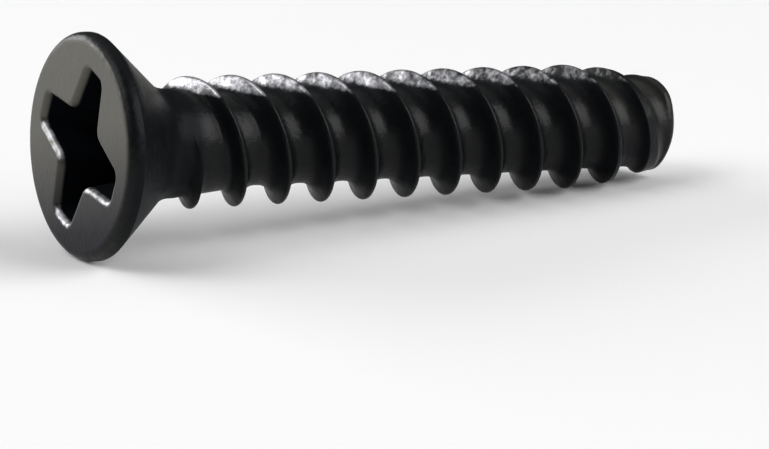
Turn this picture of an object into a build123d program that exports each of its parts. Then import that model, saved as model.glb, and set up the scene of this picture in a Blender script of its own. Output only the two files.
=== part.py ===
from build123d import *
import math
import os

# Black countersunk thread rolling screw with a cross recess, a twin-start thread and a blunt end.
# It is drawn upright first: the head's face at Z = 0 and the end at Z = length. It is then laid
# on its side as it comes to rest, on the rim of the head and on the last full crest of the thread.
# Lengths are in millimetres and angles in degrees.

# Head and neck
length = 15.8
head_diameter = 5.1
head_land = 0.36
face_edge_radius = 0.25
countersink_angle = 82.0
neck_diameter = 2.48
neck_fillet = 0.9
neck_length = 0.1

# Thread
thread_diameter = 3.0
core_diameter = 2.08
crest_spacing = 1.15
starts = 2
crest_width = 0.09
flank_angle = 24.0
crest_phase = 0.54
run_in_angle = 34.0
core_run_out = 2.1

# Blunt end
point_length = 2.05
point_angle = 10.8
end_radius = 0.2

# Cross recess
recess_diameter = 3.6
wing_tip_width = 0.7
wing_root_width = 1.2
wing_corner_radius = 0.16
recess_lip = 0.16
recess_depth = 1.75
recess_tip_draft = 24.0
recess_side_draft = 6.0
recess_cone_angle = 140.0
recess_turn = 19.4

# How far a tool solid passes the faces that it cuts or joins
overlap = 0.12

# Radii and heights worked out from the sizes above
head_radius = head_diameter / 2
neck_radius = neck_diameter / 2
crest_radius = thread_diameter / 2
core_radius = core_diameter / 2
half_sink = math.radians(countersink_angle / 2)
fillet_reach = neck_fillet * math.tan(half_sink / 2)
neck_height = head_land + (head_radius - neck_radius) / math.tan(half_sink)
thread_start = neck_height + fillet_reach + neck_length
lead = crest_spacing * starts
first_crest = thread_start - lead + crest_phase
taper_start = length - point_length


def turned(outline):
    """A solid of revolution about Z from a closed outline of radius and height."""
    return revolve(Plane.XZ * make_face(outline), axis=Axis.Z, revolution_arc=360)


def blank():
    """Head, neck and core, without the thread or the recess."""
    face_edge = Vector(head_radius - face_edge_radius, 0)
    land_top = Vector(head_radius, face_edge_radius)
    land_bottom = Vector(head_radius, head_land)
    cone_end = Vector(
        neck_radius + fillet_reach * math.sin(half_sink),
        neck_height - fillet_reach * math.cos(half_sink),
    )
    fillet_end = Vector(neck_radius, neck_height + fillet_reach)
    neck_end = Vector(neck_radius, thread_start)
    core_top = Vector(core_radius, thread_start + core_run_out)
    end_side = Vector(core_radius, length - end_radius)
    end_face = Vector(core_radius - end_radius, length)
    outline = Curve() + [
        Line((0, 0), face_edge),
        TangentArc(face_edge, land_top, tangent=(1, 0)),
        Line(land_top, land_bottom),
        Line(land_bottom, cone_end),
        TangentArc(cone_end, fillet_end, tangent=cone_end - land_bottom),
        Line(fillet_end, neck_end),
        Line(neck_end, core_top),
        Line(core_top, end_side),
        TangentArc(end_side, end_face, tangent=(0, 1)),
        Line(end_face, (0, length)),
        Line((0, length), (0, 0)),
    ]
    return turned(outline)


def thread_ridge(turn):
    """One start of the thread at full height all along, turned about Z by the given angle."""
    foot = core_radius - overlap
    foot_half = crest_width / 2 + (crest_radius - foot) * math.tan(math.radians(flank_angle))
    section = Plane.XZ * make_face(
        Polyline(
            (foot, first_crest - foot_half),
            (crest_radius, first_crest - crest_width / 2),
            (crest_radius, first_crest + crest_width / 2),
            (foot, first_crest + foot_half),
            close=True,
        )
    )
    path = Helix(lead, length - first_crest + lead, core_radius, center=(0, 0, first_crest))
    return Rot(0, 0, turn) * sweep(section, path=path, is_frenet=True)


def thread_limit():
    """What the ridges stay within: their run-in at the neck and their taper at the end."""
    inner = core_radius - 2 * overlap
    outer = crest_radius + overlap
    run_in = math.tan(math.radians(run_in_angle))
    taper = math.tan(math.radians(point_angle))
    outline = Polyline(
        (inner, thread_start - overlap),
        (neck_radius - overlap * run_in, thread_start - overlap),
        (outer, thread_start + (outer - neck_radius) / run_in),
        (outer, taper_start - overlap / taper),
        (crest_radius - (point_length - end_radius) * taper, length - end_radius),
        (inner, length - end_radius / 2),
        close=True,
    )
    return turned(outline)


def star(tip, side_inset):
    """The recess's plan at one depth: four tapering wings with their tips and sides set in."""
    root = wing_root_width / 2
    slope = (wing_tip_width / 2 - root) / (recess_diameter / 2 - root)
    tip_half = root + slope * (tip - root) - side_inset
    corner = root - side_inset / (1 - slope)
    points = []
    for quarter in range(4):
        wing = [(tip, -tip_half), (tip, tip_half), (corner, corner)]
        points += [Vector(x, y).rotate(Axis.Z, 90 * quarter) for x, y in wing]
    plan = make_face(Polyline(*points, close=True))
    return fillet(plan.vertices(), wing_corner_radius)


def recess():
    """The solids that the cross recess takes out: drafted wings, a short cone and a lip."""
    wing_tip = recess_diameter / 2
    wing_depth = recess_depth - recess_lip
    floor_tip = wing_tip - wing_depth * math.tan(math.radians(recess_tip_draft))
    floor_inset = wing_depth * math.tan(math.radians(recess_side_draft))
    reach = recess_lip + overlap
    opening = Pos(0, 0, -overlap) * star(wing_tip + reach, -reach)
    mouth = Pos(0, 0, recess_lip) * star(wing_tip, 0)
    floor = Pos(0, 0, recess_depth) * star(floor_tip, floor_inset)
    lip = loft([opening, mouth], ruled=True)
    wings = loft([mouth, floor], ruled=True)
    centre_radius = wing_root_width / 2 - floor_inset
    centre_height = centre_radius / math.tan(math.radians(recess_cone_angle / 2))
    centre = Pos(0, 0, recess_depth - overlap) * Cone(
        centre_radius,
        centre_radius / 8,
        centre_height,
        align=(Align.CENTER, Align.CENTER, Align.MIN),
    )
    return [Rot(0, 0, recess_turn) * cut for cut in (wings, centre, lip)]


def upright_screw():
    """The whole screw, head down."""
    body = blank()
    for start in range(starts):
        body += thread_ridge(360 / starts * start) & thread_limit()
    for cut in recess():
        body -= cut
    return body


def laid_down(body):
    """The screw on its side, its box centred over the origin and its lowest points at Z = 0."""
    full_crests = math.floor((taper_start - first_crest) / crest_spacing)
    last_crest = first_crest + full_crests * crest_spacing + crest_width / 2
    droop = math.atan2(head_radius - crest_radius, last_crest - head_land)
    lying = Rot(0, 90 + math.degrees(droop), 0) * body
    box = lying.bounding_box()
    return Pos(-box.center().X, -box.center().Y, -box.min.Z) * lying


screw = laid_down(upright_screw())
screw.label = "screw"

os.makedirs("parts", exist_ok=True)
export_step(screw, "parts/screw.step")
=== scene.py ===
"""A black thread rolling screw lying on a pale studio floor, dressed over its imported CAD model.

The screw is modelled upright in millimetres, with the face of its head at Z = 0 and its end
pointing up, and is then laid down into the CAD model's place in metres.
"""

import logging
import math
from dataclasses import dataclass, field
from enum import Enum
from typing import Callable

import bpy
import numpy as np
from mathutils import Matrix, Vector

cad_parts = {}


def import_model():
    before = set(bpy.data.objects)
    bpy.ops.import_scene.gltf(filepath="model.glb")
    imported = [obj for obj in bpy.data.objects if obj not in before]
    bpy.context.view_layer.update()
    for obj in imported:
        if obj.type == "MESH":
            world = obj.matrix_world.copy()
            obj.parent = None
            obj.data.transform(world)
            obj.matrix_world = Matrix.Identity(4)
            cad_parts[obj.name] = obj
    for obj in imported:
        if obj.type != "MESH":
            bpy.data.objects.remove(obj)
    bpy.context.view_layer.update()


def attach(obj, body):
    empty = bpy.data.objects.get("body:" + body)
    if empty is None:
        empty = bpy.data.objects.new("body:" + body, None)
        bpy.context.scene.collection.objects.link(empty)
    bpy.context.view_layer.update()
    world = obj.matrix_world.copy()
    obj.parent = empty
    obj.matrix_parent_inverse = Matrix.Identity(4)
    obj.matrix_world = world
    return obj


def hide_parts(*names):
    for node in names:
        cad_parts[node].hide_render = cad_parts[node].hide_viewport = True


logging.basicConfig(level=logging.INFO, format="%(message)s")
log = logging.getLogger("screw")

MILLIMETRE = 0.001
NEAR = 1e-4

Span = tuple[float, float]
Spot = tuple[float, float]
Place = tuple[float, float, float]
Colour = tuple[float, float, float]
PointTest = Callable[[Vector], bool]
EdgeTest = Callable[[Vector, Vector], bool]


class Element(Enum):
    """What a selection in edit mode is made of."""

    POINTS = "VERT"
    EDGES = "EDGE"
    FACES = "FACE"


# Work in edit mode


def deselect_everything() -> None:
    """Leaves edit mode and deselects every object, as a new piece needs before it starts."""
    if bpy.context.object and bpy.context.object.mode != "OBJECT":
        bpy.ops.object.mode_set(mode="OBJECT")
    bpy.ops.object.select_all(action="DESELECT")


def take_up(piece: bpy.types.Object) -> None:
    """Makes one piece the only selected and the active object.

    Args:
        piece: The object to work on next.
    """
    deselect_everything()
    piece.select_set(True)
    bpy.context.view_layer.objects.active = piece


def pick(piece: bpy.types.Object, element: Element, wanted: PointTest) -> None:
    """Selects, in edit mode, the elements whose points all pass a test of place.

    Args:
        piece: The object to select on.
        element: What is selected.
        wanted: A test of one point's place.
    """
    take_up(piece)
    mesh = piece.data
    inside = [wanted(point.co) for point in mesh.vertices]
    for elements in (mesh.polygons, mesh.edges, mesh.vertices):
        elements.foreach_set("select", [False] * len(elements))
    if element is Element.POINTS:
        mesh.vertices.foreach_set("select", inside)
    else:
        elements = mesh.edges if element is Element.EDGES else mesh.polygons
        elements.foreach_set(
            "select", [all(inside[index] for index in item.vertices) for item in elements]
        )
    bpy.ops.object.mode_set(mode="EDIT")
    bpy.ops.mesh.select_mode(type=element.value)


def pick_edges(piece: bpy.types.Object, wanted: EdgeTest) -> None:
    """Selects, in edit mode, the edges whose two ends together pass a test.

    Args:
        piece: The object to select on.
        wanted: A test of the places of an edge's two ends.
    """
    take_up(piece)
    mesh = piece.data
    places = [point.co for point in mesh.vertices]
    for elements in (mesh.polygons, mesh.vertices):
        elements.foreach_set("select", [False] * len(elements))
    chosen = [wanted(places[edge.vertices[0]], places[edge.vertices[1]]) for edge in mesh.edges]
    mesh.edges.foreach_set("select", chosen)
    bpy.ops.object.mode_set(mode="EDIT")
    bpy.ops.mesh.select_mode(type=Element.EDGES.value)


def edit_all(piece: bpy.types.Object) -> None:
    """Enters edit mode on one piece with all of it selected.

    Args:
        piece: The object to edit.
    """
    take_up(piece)
    bpy.ops.object.mode_set(mode="EDIT")
    bpy.ops.mesh.select_mode(type=Element.POINTS.value)
    bpy.ops.mesh.select_all(action="SELECT")


def apply_modifier(piece: bpy.types.Object, kind: str, **settings: object) -> None:
    """Adds one modifier to a piece and applies it.

    Args:
        piece: The object that the modifier changes.
        kind: The modifier's type, such as SCREW or BOOLEAN.
        settings: The modifier's own settings by name.
    """
    take_up(piece)
    modifier = piece.modifiers.new(kind, kind)
    for name, value in settings.items():
        setattr(modifier, name, value)
    bpy.ops.object.modifier_apply(modifier=modifier.name)


def pull(offset: Place) -> None:
    """Extrudes the selection and moves it.

    Args:
        offset: How far the new elements move.
    """
    bpy.ops.mesh.extrude_region_move(TRANSFORM_OT_translate={"value": offset})


def pull_rings(rings: list[Spot]) -> None:
    """Extrudes a selected circle about Z from ring to ring.

    Args:
        rings: Pairs of radius and height, the first of which is the circle's own.
    """
    for before, ring in zip(rings, rings[1:]):
        pull((0, 0, ring[1] - before[1]))
        scale = ring[0] / before[0]
        bpy.ops.transform.resize(value=(scale, scale, 1), center_override=(0, 0, ring[1]))


def read_points(piece: bpy.types.Object, what: str) -> np.ndarray:
    """Reads one vector for each point of a mesh.

    Args:
        piece: The object to read from.
        what: The vector's name, which is co for the place or normal.

    Returns:
        A row of three numbers for each point.
    """
    points = np.empty(len(piece.data.vertices) * 3)
    piece.data.vertices.foreach_get(what, points)
    return points.reshape(-1, 3)


def arc(centre: Spot, radius: float, start: float, stop: float, steps: int) -> list[Spot]:
    """Points along an arc in the plane of radius and height, without the arc's first point.

    Args:
        centre: The arc's centre, as radius and height.
        radius: The arc's own radius.
        start: Its first angle in degrees, where 0 points away from the axis and 90 up.
        stop: Its last angle in degrees.
        steps: How many points there are.

    Returns:
        The points as pairs of radius and height.
    """
    points = []
    for step in range(1, steps + 1):
        angle = math.radians(start + (stop - start) * step / steps)
        points.append(
            (centre[0] + radius * math.cos(angle), centre[1] + radius * math.sin(angle))
        )
    return points


def run(start: Spot, stop: Spot, steps: int) -> list[Spot]:
    """Evenly spaced points on a straight line, without its first point.

    Args:
        start: Where the line starts.
        stop: Where it ends.
        steps: How many points there are.

    Returns:
        The points, the last of which is stop.
    """
    return [
        (
            start[0] + (stop[0] - start[0]) * step / steps,
            start[1] + (stop[1] - start[1]) * step / steps,
        )
        for step in range(1, steps + 1)
    ]


# Pieces of the screw, upright and in millimetres


@dataclass
class Recess:
    """The cross recess, modelled as the solid that it takes out of the head."""

    diameter: float = 3.6
    tip_width: float = 0.7
    root_width: float = 1.2
    tip_corner: float = 0.14
    nose_corner: float = 0.24
    depth: float = 1.75
    mouth: float = 0.18
    tip_draft: float = 24.0
    side_draft: float = 6.0
    floor_fall: float = 0.18
    turn: float = 19.4
    above: float = 0.3
    corner_steps: int = 6
    shortest_corner: float = 0.2
    flat_angle: float = 1.0

    def build(self) -> bpy.types.Object:
        """Grows four wings from a square, sinks them with their drafts and rounds the corners.

        Returns:
            The tool solid, its mouth at the face of the head.
        """
        root = self.root_width / 2
        tip = self.diameter / 2
        deselect_everything()
        bpy.ops.mesh.primitive_plane_add(size=self.root_width, location=(0, 0, -self.above))
        tool = bpy.context.object
        tool.name = "recess_tool"
        for quarter in range(4):
            self.grow_wing(tool, quarter, root, tip)
        edit_all(tool)
        bpy.ops.mesh.dissolve_limited(angle_limit=math.radians(self.flat_angle))
        bpy.ops.mesh.select_all(action="SELECT")
        pull((0, 0, self.above + self.mouth))
        pull((0, 0, self.depth - self.mouth))
        bpy.ops.object.mode_set(mode="OBJECT")
        self.draft_floor(tool, root, tip)
        pick(tool, Element.FACES, lambda place: place.z > self.depth - NEAR)
        bpy.ops.mesh.poke(offset=self.floor_fall)
        bpy.ops.object.mode_set(mode="OBJECT")
        self.round_corners(tool, root)
        edit_all(tool)
        bpy.ops.mesh.normals_make_consistent(inside=False)
        bpy.ops.object.mode_set(mode="OBJECT")
        tool.rotation_euler.z = math.radians(self.turn)
        take_up(tool)
        bpy.ops.object.transform_apply(location=True, rotation=True, scale=True)
        return tool

    def grow_wing(self, tool: bpy.types.Object, quarter: int, root: float, tip: float) -> None:
        """Pulls one side of the square out to a wing's tip and narrows it there.

        Args:
            tool: The recess tool.
            quarter: Which of the four sides, counted from +X towards +Y.
            root: Half the width where the wings meet.
            tip: The distance from the axis to the wing's tip.
        """
        way = Matrix.Rotation(math.radians(90 * quarter), 3, "Z") @ Vector((1, 0, 0))
        pick(tool, Element.EDGES, lambda place: abs(place.xy.dot(way.xy) - root) < NEAR)
        pull(tuple(way * (tip - root)))
        narrow = self.tip_width / self.root_width
        across = (1, narrow, 1) if quarter % 2 == 0 else (narrow, 1, 1)
        bpy.ops.transform.resize(value=across, center_override=tuple(way * tip))
        bpy.ops.object.mode_set(mode="OBJECT")

    def round_corners(self, tool: bpy.types.Object, root: float) -> None:
        """Rounds the upright corners, the noses between two wings more than the wings' tips.

        Args:
            tool: The drafted recess tool.
            root: Half the width where the wings meet.
        """
        nose = root * math.sqrt(2) + NEAR
        for offset, nearest, farthest in (
            (self.nose_corner, 0.0, nose),
            (self.tip_corner, self.diameter / 2, self.diameter),
        ):
            pick_edges(
                tool,
                lambda one, other: abs(one.z - other.z) > self.shortest_corner
                and nearest < max(one.xy.length, other.xy.length) < farthest,
            )
            bpy.ops.mesh.bevel(
                offset=offset,
                segments=self.corner_steps,
                affect="EDGES",
                clamp_overlap=False,
            )
            bpy.ops.object.mode_set(mode="OBJECT")

    def draft_floor(self, tool: bpy.types.Object, root: float, tip: float) -> None:
        """Draws the tips and the corners of the recess's floor in by their drafts.

        Args:
            tool: The recess tool.
            root: Half the width where the wings meet.
            tip: The distance from the axis to a wing's tip.
        """
        sunk = self.depth - self.mouth
        reach = tip - sunk * math.tan(math.radians(self.tip_draft))
        inset = sunk * math.tan(math.radians(self.side_draft))
        slope = (self.tip_width / 2 - root) / (tip - root)
        half = root + slope * (reach - root) - inset
        corner = root - inset / (1 - slope)
        for point in tool.data.vertices:
            if point.co.z < self.depth - NEAR:
                continue
            x, y = abs(point.co.x), abs(point.co.y)
            if max(x, y) > root + NEAR:
                x, y = (reach, half) if x > y else (half, reach)
            else:
                x, y = corner, corner
            point.co.x = math.copysign(x, point.co.x)
            point.co.y = math.copysign(y, point.co.y)


@dataclass
class Head:
    """The countersunk head: face, land, cone, neck fillet and cross recess."""

    diameter: float = 5.1
    land: float = 0.36
    face_edge: float = 0.25
    land_edge: float = 0.05
    cone_angle: float = 82.0
    neck_radius: float = 1.24
    neck_fillet: float = 0.9
    neck_end: float = 2.215
    lip: float = 0.16
    around: int = 144
    face_edge_steps: int = 9
    land_edge_steps: int = 4
    cone_steps: int = 12
    fillet_steps: int = 8
    lip_steps: int = 4
    recess: Recess = field(default_factory=Recess)

    def outline(self) -> list[Spot]:
        """The turned outline, from the edge of the face to the end of the smooth neck.

        Returns:
            Pairs of radius and height.
        """
        rim = self.diameter / 2
        half = math.radians(self.cone_angle / 2)
        reach = self.neck_fillet * math.tan(half / 2)
        neck_start = self.land + (rim - self.neck_radius) / math.tan(half)
        edge = self.face_edge
        turn = self.land_edge * math.tan(half / 2)
        points = [(rim - edge, 0.0)]
        points += arc((rim - edge, edge), edge, -90, 0, self.face_edge_steps)
        points.append((rim, self.land - turn))
        points += arc(
            (rim - self.land_edge, self.land - turn),
            self.land_edge,
            0,
            math.degrees(half),
            self.land_edge_steps,
        )
        cone_end = (
            self.neck_radius + reach * math.sin(half),
            neck_start - reach * math.cos(half),
        )
        points += run(points[-1], cone_end, self.cone_steps)
        centre = (self.neck_radius + self.neck_fillet, neck_start + reach)
        points += arc(
            centre, self.neck_fillet, 180 + math.degrees(half), 180, self.fillet_steps
        )
        points.append((self.neck_radius, self.neck_end))
        return points

    def build(self) -> bpy.types.Object:
        """Turns the head ring by ring, cuts the recess, rounds its lip and opens the neck.

        Returns:
            The head, open where the shank goes on.
        """
        rings = self.outline()
        deselect_everything()
        bpy.ops.mesh.primitive_circle_add(
            vertices=self.around, radius=rings[0][0], fill_type="NGON", location=(0, 0, 0)
        )
        head = bpy.context.object
        head.name = "screw_head"
        edit_all(head)
        pull_rings(rings)
        bpy.ops.mesh.select_all(action="SELECT")
        bpy.ops.mesh.normals_make_consistent(inside=False)
        bpy.ops.object.mode_set(mode="OBJECT")
        tool = self.recess.build()
        apply_modifier(head, "BOOLEAN", operation="DIFFERENCE", solver="EXACT", object=tool)
        bpy.data.objects.remove(tool)
        inner = self.recess.diameter / 2 + self.lip
        pick(
            head,
            Element.EDGES,
            lambda place: abs(place.z) < NEAR and place.xy.length < inner,
        )
        bpy.ops.mesh.bevel(offset=self.lip, segments=self.lip_steps, affect="EDGES")
        pick(head, Element.FACES, lambda place: place.z > self.neck_end - NEAR)
        bpy.ops.mesh.delete(type="ONLY_FACE")
        bpy.ops.object.mode_set(mode="OBJECT")
        return head


@dataclass
class Shank:
    """The two-start thread on its core, with its run-in at the neck and its blunt end."""

    length: float = 15.8
    thread_radius: float = 1.5
    core_radius: float = 1.04
    crest_spacing: float = 1.15
    starts: int = 2
    crest_width: float = 0.09
    crest_round: float = 0.069
    root_round: float = 0.42
    flank_angle: float = 24.0
    thread_start: float = 2.3035
    crest_phase: float = 0.54
    run_in_angle: float = 34.0
    core_run_out: float = 2.1
    point_length: float = 2.05
    point_angle: float = 10.8
    end_radius: float = 0.2
    neck_radius: float = 1.24
    join_height: float = 2.255
    last_cut: float = 15.54
    around: int = 120
    valley_steps: int = 2
    root_steps: int = 8
    flank_steps: int = 8
    crest_steps: int = 4
    end_steps: int = 7
    end_inset: float = 0.04
    foot_blend: float = 0.06
    top_blend: float = 0.05

    @property
    def lead(self) -> float:
        """How far one start climbs in a turn."""
        return self.crest_spacing * self.starts

    @property
    def first_crest(self) -> float:
        """The height of a crest at +X, about a lead below the thread's start."""
        return self.thread_start - self.lead + self.crest_phase

    def ridge(self, crest: float) -> list[Spot]:
        """The outline over one crest, from the middle of a valley to the middle of the next.

        Args:
            crest: The height of the crest's middle.

        Returns:
            Pairs of radius and height, without the first valley point.
        """
        lean = math.radians(self.flank_angle)
        tall = self.thread_radius - self.core_radius
        turned = 90 - self.flank_angle
        crest_cut = self.crest_round * math.tan(math.radians(turned / 2))
        root_cut = self.root_round * math.tan(math.radians(turned / 2))
        crest_edge = self.crest_width / 2
        foot = crest_edge + tall * math.tan(lean)
        half = self.crest_spacing / 2
        core, top = self.core_radius, self.thread_radius
        up = run((core, -half), (core, -foot - root_cut), self.valley_steps)
        up += arc(
            (core + self.root_round, -foot - root_cut),
            self.root_round,
            180,
            180 - turned,
            self.root_steps,
        )
        flank_top = (
            top - crest_cut * math.cos(lean),
            -crest_edge - crest_cut * math.sin(lean),
        )
        up += run(up[-1], flank_top, self.flank_steps)
        up += arc(
            (top - self.crest_round, -crest_edge + crest_cut),
            self.crest_round,
            -turned,
            0,
            self.crest_steps,
        )
        up.append((top, 0.0))
        down = [(radius, -height) for radius, height in reversed(up[:-1])]
        down.append((core, half))
        return [(radius, crest + height) for radius, height in up + down]

    def build(self) -> bpy.types.Object:
        """Draws a lead's outline point by point, screws it round, trims it and closes the end.

        Returns:
            The shank, open where the head goes on.
        """
        crests = [self.first_crest + self.crest_spacing * step for step in (-1, 0)]
        start = (self.core_radius, crests[0] - self.crest_spacing / 2)
        outline = [start] + self.ridge(crests[0]) + self.ridge(crests[1])
        deselect_everything()
        bpy.ops.mesh.primitive_plane_add(size=0.1, location=(0, 0, 0))
        shank = bpy.context.object
        shank.name = "screw_shank"
        edit_all(shank)
        bpy.ops.mesh.merge(type="CENTER")
        bpy.ops.transform.translate(value=(start[0], 0, start[1]))
        for before, point in zip(outline, outline[1:]):
            pull((point[0] - before[0], 0, point[1] - before[1]))
        bpy.ops.object.mode_set(mode="OBJECT")
        turns = math.ceil((self.length - start[1]) / self.lead) + 1
        apply_modifier(
            shank,
            "SCREW",
            axis="Z",
            screw_offset=self.lead,
            iterations=turns,
            steps=self.around,
            render_steps=self.around,
            use_merge_vertices=False,
        )
        edit_all(shank)
        bpy.ops.mesh.remove_doubles(threshold=NEAR)
        bpy.ops.object.mode_set(mode="OBJECT")
        self.shape_ends(shank)
        self.trim(shank)
        self.close_end(shank)
        return shank

    def shape_ends(self, shank: bpy.types.Object) -> None:
        """Thickens the core at the neck and lets the crests fade at the neck and at the end.

        A ridge that fades along its own helix has no operator, so its points move in code.

        Args:
            shank: The thread at full height all along.
        """
        places = read_points(shank, "co")
        radius = np.hypot(places[:, 0], places[:, 1])
        height = places[:, 2]
        core = self.core_radius
        swell = np.clip(1 - (height - self.thread_start) / self.core_run_out, 0, 1)
        swell *= self.neck_radius - core
        rise = soft_floor(radius - core - swell, np.minimum(self.foot_blend, swell))
        run_in = self.neck_radius + (height - self.thread_start) * math.tan(
            math.radians(self.run_in_angle)
        )
        taper = self.thread_radius - (height - self.length + self.point_length) * math.tan(
            math.radians(self.point_angle)
        )
        room = np.minimum(run_in, taper) - core - swell
        rise = np.maximum(room - soft_floor(room - rise, self.top_blend), 0)
        moved = core + swell + rise
        places[:, :2] *= (moved / radius)[:, None]
        shank.data.vertices.foreach_set("co", places.ravel())
        shank.data.update()

    def trim(self, shank: bpy.types.Object) -> None:
        """Cuts the shank level where the head goes on and where the end starts to round.

        Args:
            shank: The shaped thread.
        """
        for height, below in ((self.join_height, True), (self.last_cut, False)):
            edit_all(shank)
            bpy.ops.mesh.bisect(
                plane_co=(0, 0, height),
                plane_no=(0, 0, 1),
                clear_inner=below,
                clear_outer=not below,
            )
            bpy.ops.object.mode_set(mode="OBJECT")

    def close_end(self, shank: bpy.types.Object) -> None:
        """Carries the cut edge round the end's corner ring by ring and closes the end face.

        Args:
            shank: The trimmed thread.
        """
        corner = (self.core_radius - self.end_radius, self.length - self.end_radius)
        rings = [(self.core_radius, self.last_cut), (self.core_radius, corner[1])]
        rings += arc(corner, self.end_radius, 0, 90, self.end_steps)
        rings.append((corner[0] - self.end_inset, self.length))
        pick(shank, Element.EDGES, lambda place: abs(place.z - self.last_cut) < NEAR)
        pull_rings(rings)
        bpy.ops.mesh.edge_face_add()
        bpy.ops.object.mode_set(mode="OBJECT")


def smooth_step(value: np.ndarray, span: Span) -> np.ndarray:
    """A smooth climb from 0 to 1 between two bounds.

    Args:
        value: The numbers.
        span: Where the climb starts and where it ends, which may lie below its start.

    Returns:
        Numbers from 0 to 1.
    """
    low, high = span
    share = np.clip((value - low) / (high - low), 0, 1)
    return share * share * (3 - 2 * share)


def soft_floor(value: np.ndarray, reach: float | np.ndarray) -> np.ndarray:
    """The value where it is above zero and zero below, with the bend between them rounded.

    Args:
        value: The numbers.
        reach: How far the rounding reaches on both sides of zero.

    Returns:
        Numbers that are never below zero.
    """
    reach = np.maximum(reach, 1e-6)
    bend = np.clip(reach - np.abs(value), 0, None)
    return np.maximum(value, 0) + bend * bend / (4 * reach)


@dataclass(frozen=True)
class MarkedPoints:
    """The points that the marks of painted light and of the face's finish are set on, with the
    screw upright and in millimetres.

    A point's place is given by how far it lies towards the side that ends up on top, its radius
    and its height, and its normal by its parts towards the head and towards that side.
    """

    above: np.ndarray
    radius: np.ndarray
    height: np.ndarray
    headward: np.ndarray
    upward: np.ndarray
    in_recess: np.ndarray


@dataclass(frozen=True)
class FinishAndLightMarks:
    """Where the painted highlight, painted sheen, painted shade and the face's finish change over
    the screw: each span runs from no mark to the full mark.
    """

    # Painted highlight on the upper crests, fading towards the end, and on the recess's up-facing
    # lip.
    highlight_side: Span = (1.14, 1.28)
    highlight_facing: Span = (-0.3, 0.5)
    highlight_start: Span = (2.3, 2.5)
    highlight_first_fade: Span = (3.2, 5.5)
    highlight_first_loss: float = 0.35
    highlight_last_fade: Span = (6.5, 13.5)
    highlight_last_loss: float = 0.65
    lip_start: Span = (0.0, 0.03)
    lip_depth: Span = (0.158, 0.12)
    lip_facing: Span = (0.05, 0.5)
    lip_side_share: float = 0.75
    lip_tip_share: float = 0.3
    lip_tip_radius: float = 1.98
    # The head's smoother face, which the material gives a painted sheen; the cone and end spans
    # put a weaker painted highlight on the upper cone and near the end.
    face_depth: Span = (0.158, 0.09)
    face_edge: Span = (2.44, 2.32)
    cone_start: Span = (0.4, 0.7)
    cone_stop: Span = (1.9, 1.2)
    cone_side: Span = (0.3, 0.95)
    cone_highlight_share: float = 0.5
    end_start: Span = (12.0, 14.8)
    end_core: Span = (1.3, 1.1)
    end_highlight_share: float = 0.4
    # Painted shade in the recess, on the neck and on the headward flanks, less where they face
    # down.
    shade_depth: float = 0.17
    neck_start: Span = (0.06, 0.25)
    neck_stop: Span = (2.7, 2.4)
    neck_shade: float = 0.55
    neck_gain_start: Span = (1.3, 1.8)
    neck_gain: float = 0.1
    flank_facing: Span = (0.3, 0.7)
    flank_start: Span = (2.3, 2.6)
    flank_shade: float = 0.75
    flank_highlight: Span = (0.0, 0.3)
    flank_under: Span = (0.9, 1.25)
    flank_under_loss: float = 0.9

    def painted_highlight(self, points: MarkedPoints) -> np.ndarray:
        """Painted highlight on the upper crests, fading towards the end, and on the recess's lip
        where it faces up.

        Args:
            points: The screw's points.

        Returns:
            A mark from 0 to 1 for each point.
        """
        height = points.height
        crest = smooth_step(points.above, self.highlight_side)
        crest = crest * smooth_step(points.headward, self.highlight_facing)
        first_fade = 1 - self.highlight_first_loss * smooth_step(height, self.highlight_first_fade)
        crest *= smooth_step(height, self.highlight_start) * first_fade
        crest *= 1 - self.highlight_last_loss * smooth_step(height, self.highlight_last_fade)
        lip = smooth_step(height, self.lip_start) * smooth_step(height, self.lip_depth)
        at_side = points.radius < self.lip_tip_radius
        share = np.where(at_side, self.lip_side_share, self.lip_tip_share)
        lip *= smooth_step(points.upward, self.lip_facing) * share
        return np.maximum(crest, lip * points.in_recess)

    def upper_cone(self, points: MarkedPoints) -> np.ndarray:
        """The upper side of the cone.

        Args:
            points: The screw's points.

        Returns:
            A mark from 0 to 1 for each point.
        """
        side = points.above / np.maximum(points.radius, NEAR)
        cone = smooth_step(points.height, self.cone_start)
        cone = cone * smooth_step(points.height, self.cone_stop)
        return cone * smooth_step(side, self.cone_side)

    def face(self, points: MarkedPoints) -> np.ndarray:
        """The smoother face of the head, which carries a painted sheen, and a weaker painted
        highlight on the upper cone and near the end.

        Args:
            points: The screw's points.

        Returns:
            A mark from 0 to 1 for each point.
        """
        flat = smooth_step(points.height, self.face_depth)
        flat = flat * smooth_step(points.radius, self.face_edge)
        end = self.end_highlight_share * smooth_step(points.height, self.end_start)
        end = end * smooth_step(points.radius, self.end_core)
        rest = np.maximum(self.cone_highlight_share * self.upper_cone(points), end)
        return np.maximum(flat, np.where(points.in_recess, 0.0, rest))

    def painted_shade(self, points: MarkedPoints, painted_highlight: np.ndarray) -> np.ndarray:
        """Painted shade: matt black in the recess, and part of it on the neck and the headward
        flanks, less where they face down.

        Args:
            points: The screw's points.
            painted_highlight: The painted highlight's mark.

        Returns:
            A mark from 0 to 1 for each point.
        """
        height = points.height
        neck = self.neck_shade + self.neck_gain * smooth_step(height, self.neck_gain_start)
        ends = smooth_step(height, self.neck_start) * smooth_step(height, self.neck_stop)
        neck *= ends * (1 - self.upper_cone(points))
        flank = self.flank_shade * smooth_step(points.headward, self.flank_facing)
        flank = flank * smooth_step(height, self.flank_start)
        flank *= 1 - smooth_step(painted_highlight, self.flank_highlight)
        flank *= 1 - self.flank_under_loss * smooth_step(-points.above, self.flank_under)
        return np.where(points.in_recess, height > self.shade_depth, np.maximum(neck, flank))


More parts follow.
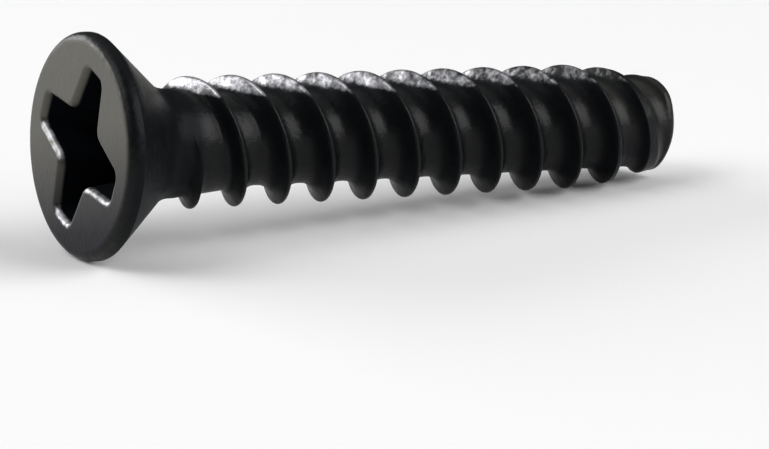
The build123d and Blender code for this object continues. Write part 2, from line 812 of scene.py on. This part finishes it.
@dataclass
class Screw:
    """The whole screw, joined from its head and its shank and laid on its side."""

    head: Head = field(default_factory=Head)
    shank: Shank = field(default_factory=Shank)
    marks: FinishAndLightMarks = FinishAndLightMarks()
    face_centre: Place = (-7.81447, 0.0, 2.57082)
    recess_bottom: float = 1.97
    recess_clearance: float = 0.15
    smooth_angle: float = 38.0

    @property
    def droop(self) -> float:
        """The angle in radians at which the axis falls from the head's rim to the last crest."""
        shank = self.shank
        taper_start = shank.length - shank.point_length
        full = math.floor((taper_start - shank.first_crest) / shank.crest_spacing)
        last = shank.first_crest + full * shank.crest_spacing + shank.crest_width / 2
        drop = self.head.diameter / 2 - shank.thread_radius
        return math.atan2(drop, last - self.head.land)

    def build(self) -> bpy.types.Object:
        """Joins the head to the shank, smooths the whole and lays it down.

        Returns:
            The finished screw in metres, in the CAD model's place.
        """
        head = self.head.build()
        log.info("head: %d faces", len(head.data.polygons))
        shank = self.shank.build()
        log.info("shank: %d faces", len(shank.data.polygons))
        take_up(shank)
        head.select_set(True)
        bpy.context.view_layer.objects.active = head
        bpy.ops.object.join()
        screw = bpy.context.object
        screw.name = "threaded_screw"
        screw.data.name = "threaded_screw"
        seams = (self.head.neck_end, self.shank.join_height)
        pick_edges(
            screw,
            lambda one, other: any(
                abs(one.z - seam) < NEAR and abs(other.z - seam) < NEAR for seam in seams
            ),
        )
        bpy.ops.mesh.bridge_edge_loops()
        bpy.ops.mesh.select_all(action="SELECT")
        bpy.ops.mesh.normals_make_consistent(inside=False)
        bpy.ops.object.mode_set(mode="OBJECT")
        self.mark_finish_and_light(screw)
        self.lay_down(screw)
        bpy.ops.object.shade_smooth_by_angle(angle=math.radians(self.smooth_angle))
        apply_modifier(screw, "WEIGHTED_NORMAL", keep_sharp=True, weight=50)
        return screw

    def marked_points(self, screw: bpy.types.Object) -> MarkedPoints:
        """Reads what the finish marks need to know of the screw's points.

        Args:
            screw: The joined screw, upright and in millimetres.

        Returns:
            The points' places, normals and whether they lie in the recess.
        """
        places = read_points(screw, "co")
        normals = read_points(screw, "normal")
        radius = np.hypot(places[:, 0], places[:, 1])
        height = places[:, 2]
        taper = math.tan(math.radians(self.head.cone_angle / 2))
        skin = self.head.diameter / 2 - taper * np.maximum(height - self.head.land, 0)
        in_recess = (height < self.recess_bottom) & (radius < skin - self.recess_clearance)
        return MarkedPoints(
            above=-places[:, 0],
            radius=radius,
            height=height,
            headward=-normals[:, 2],
            upward=-normals[:, 0],
            in_recess=in_recess,
        )

    def mark_finish_and_light(self, screw: bpy.types.Object) -> None:
        """Keeps the marks on the mesh: the painted highlight, the face with its painted sheen, and
        the painted shade.

        Args:
            screw: The joined screw, upright and in millimetres.
        """
        points = self.marked_points(screw)
        painted_highlight = self.marks.painted_highlight(points)
        marks = {
            "painted_highlight": painted_highlight,
            "face": self.marks.face(points),
            "painted_shade": self.marks.painted_shade(points, painted_highlight),
        }
        for name, values in marks.items():
            layer = screw.data.attributes.new(name, "FLOAT", "POINT")
            layer.data.foreach_set("value", values.astype(np.float32))

    def lay_down(self, screw: bpy.types.Object) -> None:
        """Lays the upright screw on its side and sets its place and scale into its mesh.

        Args:
            screw: The joined screw, upright and in millimetres.
        """
        take_up(screw)
        screw.scale = (MILLIMETRE,) * 3
        screw.rotation_euler = (0, math.pi / 2 + self.droop, 0)
        screw.location = Vector(self.face_centre) * MILLIMETRE
        bpy.ops.object.transform_apply(location=True, rotation=True, scale=True)


# Materials


class Signal:
    """An output socket of a shader tree, on which arithmetic adds Math nodes."""

    def __init__(self, tree: "ShaderTree", socket: bpy.types.NodeSocket) -> None:
        """Wraps one socket.

        Args:
            tree: The shader tree that the socket belongs to.
            socket: The output socket.
        """
        self.tree = tree
        self.socket = socket

    def combine(self, operation: str, first: object, second: object) -> "Signal":
        """Adds one Math node.

        Args:
            operation: The Math node's operation.
            first: A signal or a number.
            second: A signal or a number.

        Returns:
            The node's result.
        """
        return self.tree.node(
            "ShaderNodeMath", {"operation": operation}, {0: first, 1: second}
        )

    def __add__(self, other: object) -> "Signal":
        """The sum of both."""
        return self.combine("ADD", self, other)

    __radd__ = __add__

    def __sub__(self, other: object) -> "Signal":
        """This less the other."""
        return self.combine("SUBTRACT", self, other)

    def __rsub__(self, other: object) -> "Signal":
        """The other less this."""
        return self.combine("SUBTRACT", other, self)

    def __mul__(self, other: object) -> "Signal":
        """The product of both."""
        return self.combine("MULTIPLY", self, other)

    __rmul__ = __mul__


class ShaderTree:
    """A material's node tree, filled from empty."""

    def __init__(self, name: str) -> None:
        """Makes an empty material.

        Args:
            name: The material's name.
        """
        self.material = bpy.data.materials.new(name)
        self.material.use_nodes = True
        self.nodes = self.material.node_tree.nodes
        self.links = self.material.node_tree.links
        self.nodes.clear()

    def node(
        self,
        kind: str,
        settings: dict[str, object] | None = None,
        sockets: dict[str | int, object] | None = None,
        output: str | int = 0,
    ) -> Signal:
        """Adds one node, with its settings first and then its sockets.

        Args:
            kind: The node's type.
            settings: Its own settings by name; "stops" are a ramp's places and colours.
            sockets: A value or a signal for each input socket, by name or number.
            output: The output socket that is returned.

        Returns:
            The wanted output.
        """
        node = self.nodes.new(kind)
        for name, value in (settings or {}).items():
            if name == "stops":
                self.set_stops(node, value)
            else:
                setattr(node, name, value)
        for name, value in (sockets or {}).items():
            if isinstance(value, Signal):
                self.links.new(value.socket, node.inputs[name])
            else:
                node.inputs[name].default_value = value
        return Signal(self, node.outputs[output])

    @staticmethod
    def set_stops(node: bpy.types.Node, stops: list[tuple[float, Colour]]) -> None:
        """Fills a colour ramp.

        Args:
            node: The ramp.
            stops: Pairs of a place from 0 to 1 and a colour.
        """
        elements = node.color_ramp.elements
        while len(elements) < len(stops):
            elements.new(1.0)
        for element, (place, colour) in zip(elements, stops):
            element.position = place
            element.color = (*colour, 1.0)

    def finish(self, surface: Signal) -> bpy.types.Material:
        """Links the surface to the material's output.

        Args:
            surface: The shader.

        Returns:
            The finished material.
        """
        output = self.nodes.new("ShaderNodeOutputMaterial")
        self.links.new(surface.socket, output.inputs["Surface"])
        return self.material


@dataclass(frozen=True)
class BlackOxide:
    """Black oxide on steel, near black and faintly oily, with painted highlight flecks on the
    upper crests and lips, a painted sheen on the head's face and painted shade in the recess, on
    the neck and on the headward flanks.
    """

    dark: Colour = (0.0015, 0.002, 0.0025)
    light: Colour = (0.006, 0.0065, 0.006)
    # The next two colours are the dark bottom and the light top of a painted sheen on the head's
    # face.
    sheen_low: Colour = (0.006, 0.006, 0.011)
    sheen_high: Colour = (0.088, 0.086, 0.075)
    # A light colour for a painted highlight on the upper crests and lips.
    painted_highlight: Colour = (0.43, 0.43, 0.455)
    # A near black for painted shade in the recess, on the neck and on the headward flanks.
    shade_black: Colour = (0.003, 0.0038, 0.0055)
    smooth: float = 0.28
    rough: float = 0.46
    grain: float = 8000.0
    grain_detail: float = 3.0
    grain_in_roughness: float = 0.12
    blotch: float = 2000.0
    blotch_detail: float = 4.0
    patch: float = 3600.0
    patch_detail: float = 2.0
    oxide_stops: Span = (0.35, 0.7)
    fleck_start: float = 0.52
    fleck_full: float = 0.84
    highlight_full: float = 0.2
    # How the painted sheen on the face runs lighter upwards and to one side.
    sheen_scale: float = 200.0
    sheen_lean: float = 0.25
    sheen_stops: Span = (0.12, 0.60)
    face_metal: float = 0.85
    face_calm: float = 6.5
    relief: float = 8.0
    bump_strength: float = 0.2
    bump_depth: float = 0.00002
    index: float = 1.25
    # The painted shade's own roughness and index.
    shade_roughness: float = 0.7
    shade_index: float = 1.1

    def material(self) -> bpy.types.Material:
        """Makes the material.

        Returns:
            The finished material.
        """
        tree = ShaderTree("black_oxide")
        place = tree.node("ShaderNodeTexCoord", output="Object")
        blotches = self.noise(tree, place, self.blotch, self.blotch_detail)
        grain = self.noise(tree, place, self.grain, self.grain_detail)
        patches = self.noise(tree, place, self.patch, self.patch_detail)
        painted_highlight, face, painted_shade = (self.mark(tree, name) for name in ("painted_highlight", "face", "painted_shade"))
        # Painted highlight: light metallic flecks where the highlight mark is set, on the upper
        # crests and up-facing lips.
        mottle = grain * 0.4 + patches * 0.6 + painted_highlight * 0.3
        flecks = self.climb(tree, mottle, self.fleck_start, self.fleck_full)
        painted_flecks = flecks * self.climb(tree, painted_highlight, 0.0, self.highlight_full)
        oxide_tone = blotches * 0.6 + grain * 0.4
        oxide = self.blend(tree, oxide_tone, self.dark, self.light, self.oxide_stops)
        # Painted sheen: the face's colour grows lighter towards the top and to one side.
        across = tree.node("ShaderNodeSeparateXYZ", sockets={0: place}, output=1)
        upward = tree.node("ShaderNodeSeparateXYZ", sockets={0: place}, output=2)
        level = (upward + across * self.sheen_lean) * self.sheen_scale
        painted_sheen = self.blend(tree, level, self.sheen_low, self.sheen_high, self.sheen_stops)
        colour = self.cover(tree, oxide, painted_sheen, face)
        colour = self.cover(tree, colour, (*self.painted_highlight, 1.0), painted_flecks)
        roughness = blotches * (self.rough - self.smooth) + self.smooth
        roughness = roughness + (grain - 0.5) * self.grain_in_roughness
        relief = grain * 0.6 + blotches * (self.relief - face * self.face_calm)
        bump = tree.node(
            "ShaderNodeBump",
            sockets={
                "Strength": self.bump_strength,
                "Distance": self.bump_depth,
                "Height": relief,
            },
        )
        shader = tree.node(
            "ShaderNodeBsdfPrincipled",
            sockets={
                "Base Color": colour,
                "Roughness": roughness,
                "Normal": bump,
                "Metallic": face * self.face_metal + painted_flecks,
                "IOR": self.index,
            },
        )
        # Painted shade: a matt black, mixed in where the shade mark is set.
        shade_black = tree.node(
            "ShaderNodeBsdfPrincipled",
            sockets={
                "Base Color": (*self.shade_black, 1.0),
                "Roughness": self.shade_roughness,
                "IOR": self.shade_index,
            },
        )
        surface = tree.node("ShaderNodeMixShader", sockets={0: painted_shade, 1: shader, 2: shade_black})
        return tree.finish(surface)

    @staticmethod
    def mark(tree: ShaderTree, name: str) -> Signal:
        """Reads one of the marks of painted light or of the face's finish that the mesh keeps.

        Args:
            tree: The shader tree.
            name: The mark's name.

        Returns:
            The mark from 0 to 1.
        """
        return tree.node("ShaderNodeAttribute", {"attribute_name": name}, output="Fac")

    @staticmethod
    def climb(tree: ShaderTree, value: Signal, low: float, high: float) -> Signal:
        """Adds a climb from 0 to 1 between two bounds.

        Args:
            tree: The shader tree.
            value: The number that climbs.
            low: Where it gives 0.
            high: Where it gives 1.

        Returns:
            The climb, held at 0 and 1 outside the bounds.
        """
        return tree.node("ShaderNodeMapRange", sockets={0: value, 1: low, 2: high})

    @staticmethod
    def noise(tree: ShaderTree, place: Signal, scale: float, detail: float) -> Signal:
        """Adds one noise in the screw's own coordinates.

        Args:
            tree: The shader tree.
            place: The coordinates in metres.
            scale: How many cells there are to the metre.
            detail: How many finer layers the noise has.

        Returns:
            The noise from 0 to 1.
        """
        sockets = {"Vector": place, "Scale": scale, "Detail": detail, "Roughness": 0.6}
        return tree.node("ShaderNodeTexNoise", sockets=sockets)

    @staticmethod
    def blend(
        tree: ShaderTree, share: Signal, first: Colour, last: Colour, places: Span
    ) -> Signal:
        """Adds a ramp between two colours.

        Args:
            tree: The shader tree.
            share: The place on the ramp.
            first: The colour at its low stop.
            last: The colour at its high stop.
            places: The places of the low and the high stop.

        Returns:
            The colour.
        """
        stops = list(zip(places, (first, last)))
        return tree.node("ShaderNodeValToRGB", {"stops": stops}, {"Fac": share})

    @staticmethod
    def cover(tree: ShaderTree, under: Signal, over: object, share: Signal) -> Signal:
        """Lays one colour over another.

        Args:
            tree: The shader tree.
            under: The colour below.
            over: The colour on top, as a signal or a constant.
            share: How much of the top colour shows.

        Returns:
            The mixed colour.
        """
        return tree.node(
            "ShaderNodeMix", {"data_type": "RGBA"}, {0: share, 6: under, 7: over}, output=2
        )


@dataclass(frozen=True)
class StudioPaper:
    """The pale, matt paper that the screw lies on."""

    colour: Colour = (0.86, 0.86, 0.86)
    roughness: float = 0.9
    specular: float = 0.1

    def material(self) -> bpy.types.Material:
        """Makes the material.

        Returns:
            The finished material.
        """
        tree = ShaderTree("studio_paper")
        shader = tree.node(
            "ShaderNodeBsdfPrincipled",
            sockets={
                "Base Color": (*self.colour, 1.0),
                "Roughness": self.roughness,
                "Specular IOR Level": self.specular,
            },
        )
        return tree.finish(shader)


# Studio


@dataclass(frozen=True)
class SoftBox:
    """A soft rectangular lamp that points at the screw."""

    name: str
    place: Place
    size: tuple[float, float]
    radiance: float

    def build(self) -> None:
        """Adds the lamp."""
        deselect_everything()
        place = Vector(self.place)
        aim = (-place).to_track_quat("-Z", "Y").to_euler()
        bpy.ops.object.light_add(type="AREA", location=place, rotation=aim)
        lamp = bpy.context.object
        lamp.name = self.name
        lamp.data.shape = "RECTANGLE"
        lamp.data.size, lamp.data.size_y = self.size
        lamp.data.energy = self.radiance * self.size[0] * self.size[1] * math.pi


@dataclass
class Studio:
    """The floor, the lamps, the soft surrounding light and the camera."""

    floor_size: float = 1.6
    wall_height: float = 0.5
    floor_bend: float = 0.3
    floor_bend_steps: int = 12
    world_strength: float = 0.08
    camera_place: Place = (-39.826, -64.54, 18.988)
    camera_turn: Place = (75.775, 0.0, -31.80)
    lens: float = 155.63
    sensor: float = 36.0
    nearest: float = 0.001
    farthest: float = 10.0
    lamps: tuple[SoftBox, ...] = (
        SoftBox("top_box", (0.02, 0.08, 0.22), (0.32, 0.26), 0.42),
        SoftBox("left_box", (-0.17, 0.03, 0.18), (0.16, 0.16), 3.4),
        SoftBox("back_box", (-0.125, 0.195, 0.07), (0.25, 0.09), 7.0),
        SoftBox("side_box", (0.145, -0.15, 0.133), (0.2, 0.2), 4.7),
    )

    def build(self) -> None:
        """Adds the floor, the lamps, the surrounding light and the camera."""
        self.add_floor()
        for lamp in self.lamps:
            lamp.build()
        world = bpy.data.worlds.new("studio")
        bpy.context.scene.world = world
        world.use_nodes = True
        background = world.node_tree.nodes["Background"]
        background.inputs["Color"].default_value = (1.0, 1.0, 1.0, 1.0)
        background.inputs["Strength"].default_value = self.world_strength
        bpy.context.scene.view_settings.view_transform = "Standard"
        self.add_camera()

    def add_floor(self) -> None:
        """Rolls a sheet of paper out on the floor and up behind it."""
        deselect_everything()
        bpy.ops.mesh.primitive_plane_add(size=self.floor_size, location=(0, 0, 0))
        floor = bpy.context.object
        floor.name = "studio_floor"
        back = self.floor_size / 2
        pick(floor, Element.EDGES, lambda place: place.y > back - NEAR)
        pull((0, 0, self.wall_height))
        pick_edges(
            floor,
            lambda one, other: min(one.y, other.y) > back - NEAR and max(one.z, other.z) < NEAR,
        )
        bpy.ops.mesh.bevel(
            offset=self.floor_bend, segments=self.floor_bend_steps, affect="EDGES"
        )
        bpy.ops.object.mode_set(mode="OBJECT")
        bpy.ops.object.shade_smooth()
        floor.data.materials.append(StudioPaper().material())

    def add_camera(self) -> None:
        """Adds the camera at the photograph's viewing angle."""
        deselect_everything()
        bpy.ops.object.camera_add(
            location=Vector(self.camera_place) * MILLIMETRE,
            rotation=[math.radians(angle) for angle in self.camera_turn],
        )
        camera = bpy.context.object
        camera.data.sensor_width = self.sensor
        camera.data.lens = self.lens
        camera.data.clip_start = self.nearest
        camera.data.clip_end = self.farthest
        bpy.context.scene.camera = camera


def main() -> None:
    """Builds the screw and its studio in order and reports each piece."""
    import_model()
    screw = Screw().build()
    screw.data.materials.clear()
    screw.data.materials.append(BlackOxide().material())
    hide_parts("screw")
    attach(screw, "root")
    triangles = sum(len(polygon.vertices) - 2 for polygon in screw.data.polygons)
    log.info("screw: %d faces, %d triangles", len(screw.data.polygons), triangles)
    Studio().build()
    log.info("studio: floor, lamps and camera")


if __name__ == "__main__":
    main()
